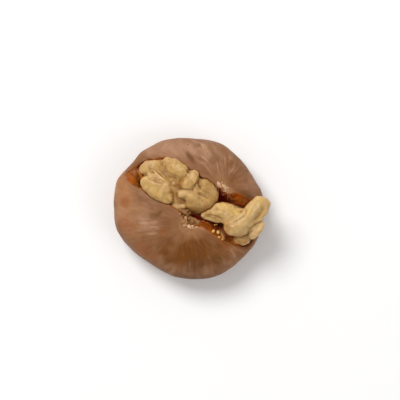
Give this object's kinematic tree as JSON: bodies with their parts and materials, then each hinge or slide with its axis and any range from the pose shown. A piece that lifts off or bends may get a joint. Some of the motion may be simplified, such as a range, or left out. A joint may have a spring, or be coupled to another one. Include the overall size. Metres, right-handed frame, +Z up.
{
  "type": "nut-stuffed dried fig",
  "caption": "Soft dried fig, slit open through its eye and stuffed with walnut kernel, lying on its flattened stem side.",
  "frame": {"origin": "centre of the footprint, on the surface the fig lies on", "axes": "+Z up through the slit, +X along the fig's length towards the overhanging walnut piece, +Y towards the narrower lip"},
  "size_m": [0.0575, 0.0526, 0.0251],
  "materials": {
    "fig_skin": "soft, slightly translucent dried fruit skin with a dull sheen",
    "walnut_kernel": "dry pale kernel skin, slightly waxy"
  },
  "bodies": {
    "root": {"fig": "fig_skin", "walnut_half_left": "walnut_kernel", "walnut_half_right": "walnut_kernel"}
  },
  "joints": []
}
